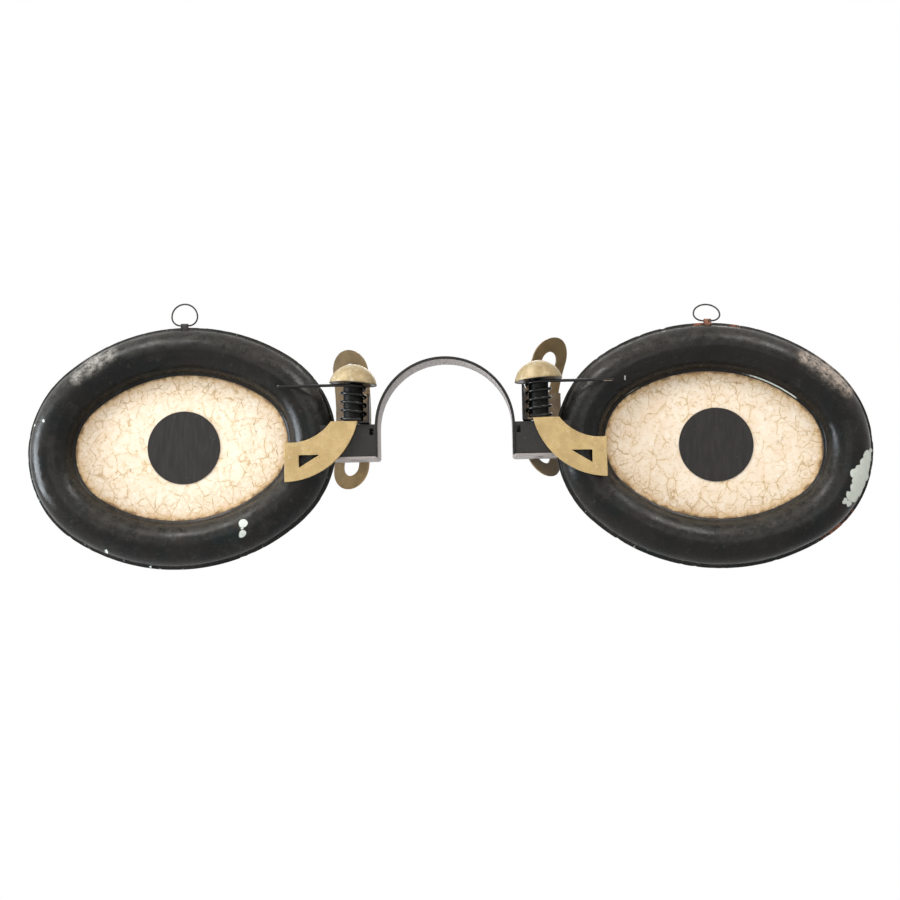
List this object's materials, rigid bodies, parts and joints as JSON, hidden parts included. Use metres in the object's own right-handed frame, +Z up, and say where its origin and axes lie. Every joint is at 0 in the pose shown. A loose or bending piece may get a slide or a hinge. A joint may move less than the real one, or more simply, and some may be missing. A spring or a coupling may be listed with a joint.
{
  "type": "optometrist trade sign",
  "caption": "Hanging optometrist's sign shaped as giant sprung pince-nez: two oval frames with painted eyes, arched bridge, sprung levers with nose pads, hanging rings.",
  "frame": {"origin": "middle of the whole sign's bounding box", "axes": "+X along the sign to the viewer's right, +Y from the sign's front to its back, +Z up"},
  "size_m": [0.9136, 0.109, 0.2914],
  "materials": {
    "black_paint": "old glossy black enamel, dented and chipped to grey zinc",
    "cream_crackle": "cream paint, crackled all over, browned at the edge",
    "pupil_black": "matt charcoal paint",
    "pale_gilt": "rubbed pale gold paint",
    "gilt": "speckled gold paint",
    "brown_gilt": "dull brown-gold paint",
    "spring_black": "black paint, worn bare at the wire's ends",
    "rusty_wire": "dark oxidised wire and strap with rust",
    "bare_steel": "dull bare steel"
  },
  "bodies": {
    "root": {"bridge_arch": "black_paint", "left_front_shell": "black_paint", "left_rear_shell": "black_paint", "left_face_panel": "cream_crackle", "left_front_pupil": "pupil_black", "left_rear_pupil": "pupil_black", "left_ring_strap": "rusty_wire", "left_bracket": "black_paint", "left_bracket_rivets": "black_paint", "left_pivot_post": "black_paint", "left_post_spacer": "bare_steel", "left_thrust_washer": "bare_steel", "left_coil_spring": "spring_black", "left_cap_disc": "spring_black", "left_dome_cap": "pale_gilt", "right_front_shell": "black_paint", "right_rear_shell": "black_paint", "right_face_panel": "cream_crackle", "right_front_pupil": "pupil_black", "right_rear_pupil": "pupil_black", "right_ring_strap": "rusty_wire", "right_bracket": "black_paint", "right_bracket_rivets": "black_paint", "right_pivot_post": "black_paint", "right_post_spacer": "bare_steel", "right_thrust_washer": "bare_steel", "right_coil_spring": "spring_black", "right_cap_disc": "spring_black", "right_dome_cap": "pale_gilt"},
    "left_lever": {"left_lever_yoke": "brown_gilt", "left_finger_plate": "gilt", "left_nose_pad": "brown_gilt"},
    "right_lever": {"right_lever_yoke": "brown_gilt", "right_finger_plate": "gilt", "right_nose_pad": "brown_gilt"},
    "left_ring": {"left_hanging_ring": "rusty_wire"},
    "right_ring": {"right_hanging_ring": "rusty_wire"}
  },
  "joints": [
    {"name": "left_lever_turn", "type": "hinge", "parent": "root", "child": "left_lever", "pos_m": [-0.09849, -0.02848, -0.01482], "axis": [-0.014, 0, 0.9999], "range_deg": [0, 20], "stiffness_Nm_per_rad": 0.5, "springref_deg": -28.65, "deforming": ["left_coil_spring"]},
    {"name": "right_lever_turn", "type": "hinge", "parent": "root", "child": "right_lever", "pos_m": [0.10099, -0.02848, -0.01204], "axis": [0.014, 0, -0.9999], "range_deg": [0, 20], "stiffness_Nm_per_rad": 0.5, "springref_deg": -28.65, "deforming": ["right_coil_spring"]},
    {"name": "left_ring_swing", "type": "hinge", "parent": "root", "child": "left_ring", "pos_m": [-0.28628, -0.01548, 0.12107], "axis": [1, 0, 0], "range_deg": [-110, 110]},
    {"name": "right_ring_swing", "type": "hinge", "parent": "root", "child": "right_ring", "pos_m": [0.28328, -0.01548, 0.12107], "axis": [1, 0, 0], "range_deg": [-78, 142]}
  ]
}
